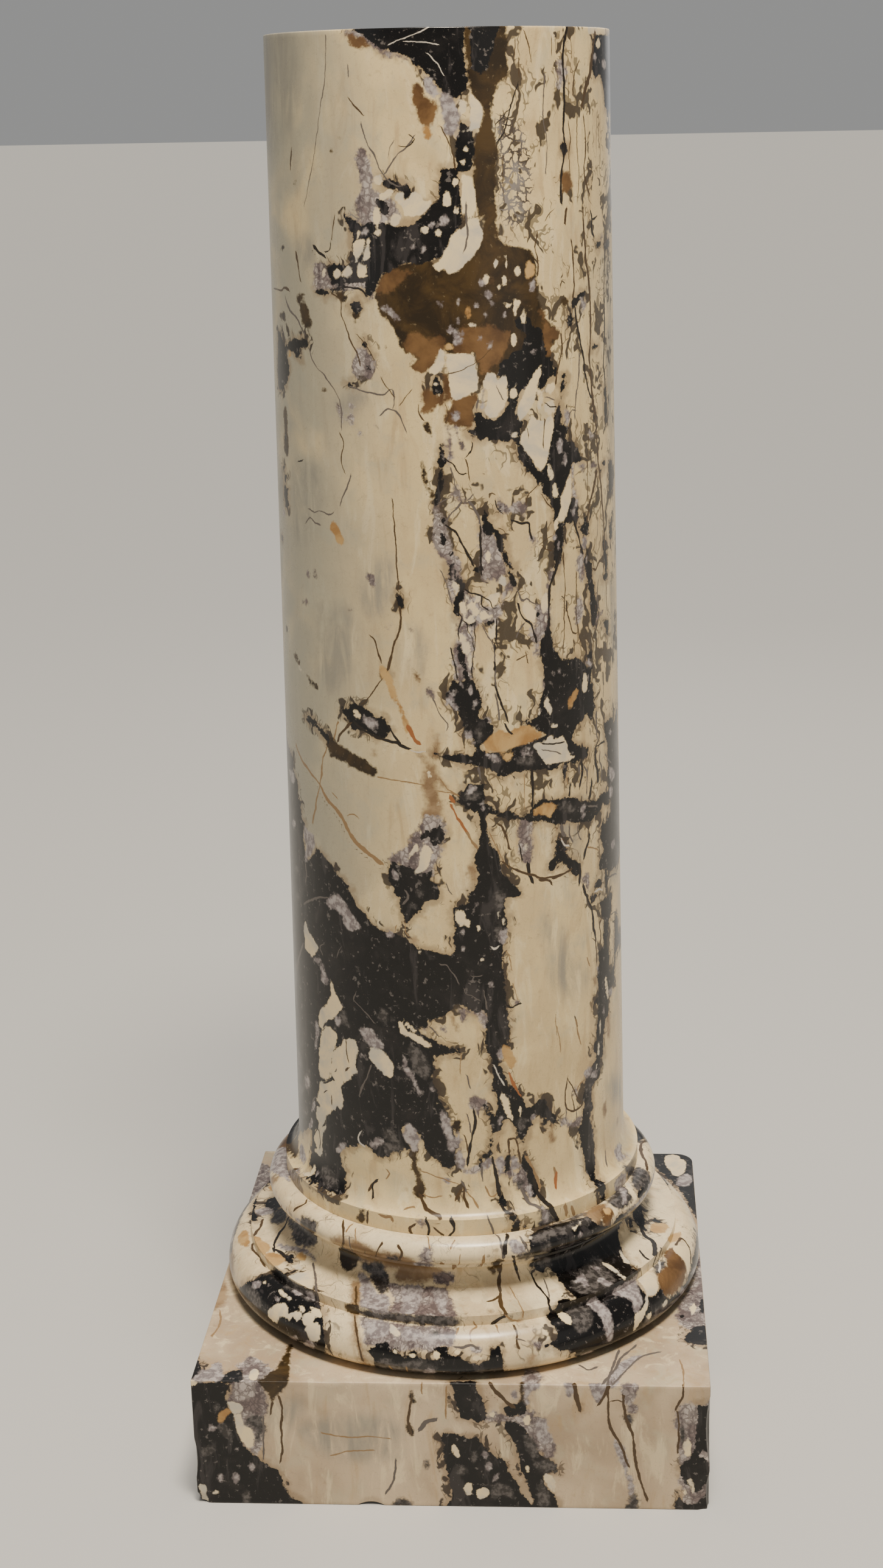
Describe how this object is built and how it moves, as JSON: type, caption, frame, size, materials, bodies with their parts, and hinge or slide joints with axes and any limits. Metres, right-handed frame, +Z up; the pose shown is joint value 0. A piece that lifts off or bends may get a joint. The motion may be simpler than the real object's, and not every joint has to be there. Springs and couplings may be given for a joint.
{
  "type": "marble column",
  "caption": "Smooth tapering marble column on a moulded Attic base and square plinth, cut flat on top to carry a statue.",
  "frame": {"origin": "centre of the plinth's underside, on the surface it stands on", "axes": "+Z up along the shaft, -Y to the front face of the plinth, +X to its right"},
  "size_m": [0.6, 0.6, 1.6471],
  "materials": {
    "shaft_marble": "polished brecciated marble, cream with black and olive veining",
    "base_marble": "polished brecciated marble, cream, violet-grey and black",
    "plinth_marble": "smooth brecciated marble, cream with black clasts, duller than the shaft"
  },
  "bodies": {
    "root": {"shaft": "shaft_marble", "moulded_base": "base_marble", "plinth": "plinth_marble"}
  },
  "joints": []
}
